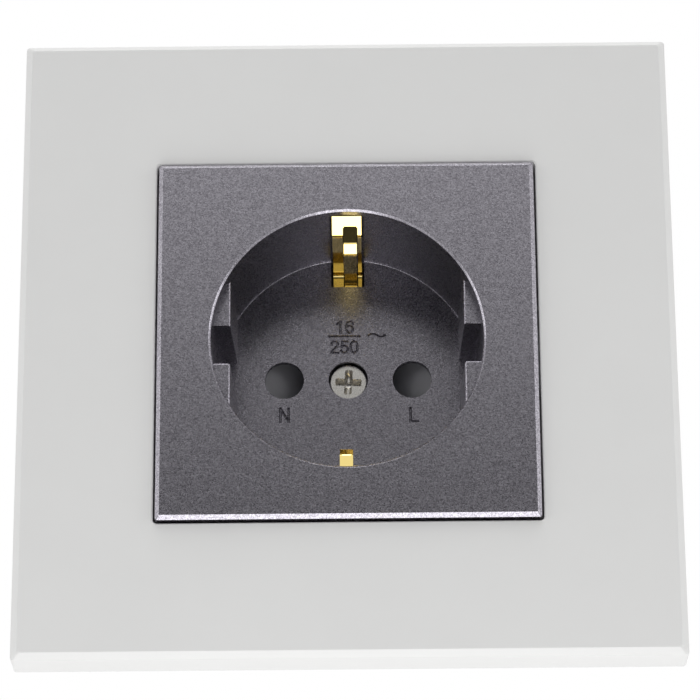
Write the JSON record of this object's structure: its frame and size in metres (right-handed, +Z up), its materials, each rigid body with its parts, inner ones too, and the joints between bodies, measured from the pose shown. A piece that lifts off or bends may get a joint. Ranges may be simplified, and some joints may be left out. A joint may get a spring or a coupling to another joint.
{
  "type": "type f wall socket",
  "caption": "Flush-mounted earthed wall socket: round plug recess with side keys, earth clips and sprung shutters in a square centre plate, in a bevelled square cover frame.",
  "frame": {"origin": "on the axis of the plug recess, in the plane of the wall", "axes": "+X to the right as seen from the room, +Y into the wall, +Z up"},
  "size_m": [0.0952, 0.0405, 0.0952],
  "materials": {
    "white_plastic": "white, faint sheen",
    "graphite_plastic": "plastic with a fine graphite metallic lacquer",
    "nickel_screw": "satin nickel plated",
    "zinc_steel": "zinc plated",
    "gilded_steel": "bright yellow passivated",
    "grey_plastic": "smooth grey",
    "spring_steel": "drawn wire",
    "black_plastic": "dull black",
    "base_plastic": "pale grey moulding",
    "brass_strip": "rolled strip",
    "brass_turned": "milled"
  },
  "bodies": {
    "socket": {"cover_frame": "white_plastic", "socket_cover": "graphite_plastic", "cover_screw": "nickel_screw", "support_ring": "zinc_steel", "ring_rivets": "zinc_steel", "earth_bracket": "gilded_steel", "earth_rivets": "zinc_steel", "shutter_spring_left": "spring_steel", "shutter_spring_right": "spring_steel", "shutter_carrier": "black_plastic", "socket_base": "base_plastic", "screw_bush": "brass_turned", "contact_neutral": "brass_strip", "contact_line": "brass_strip", "terminal_neutral": "brass_turned", "terminal_line": "brass_turned", "terminal_earth": "brass_turned", "terminal_screw_neutral": "zinc_steel", "terminal_screw_line": "zinc_steel", "terminal_screw_earth": "zinc_steel"},
    "shutter_left": {"shutter_left": "grey_plastic"},
    "shutter_right": {"shutter_right": "grey_plastic"}
  },
  "joints": [
    {"name": "shutter_left_slide", "type": "slide", "parent": "socket", "child": "shutter_left", "axis": [-1, 0, 0], "range_m": [0, 0.0057], "stiffness_N_per_m": 150, "springref_m": -0.003, "deforming": ["shutter_spring_left"]},
    {"name": "shutter_right_slide", "type": "slide", "parent": "socket", "child": "shutter_right", "axis": [1, 0, 0], "range_m": [0, 0.0057], "stiffness_N_per_m": 150, "springref_m": -0.003, "deforming": ["shutter_spring_right"]}
  ]
}
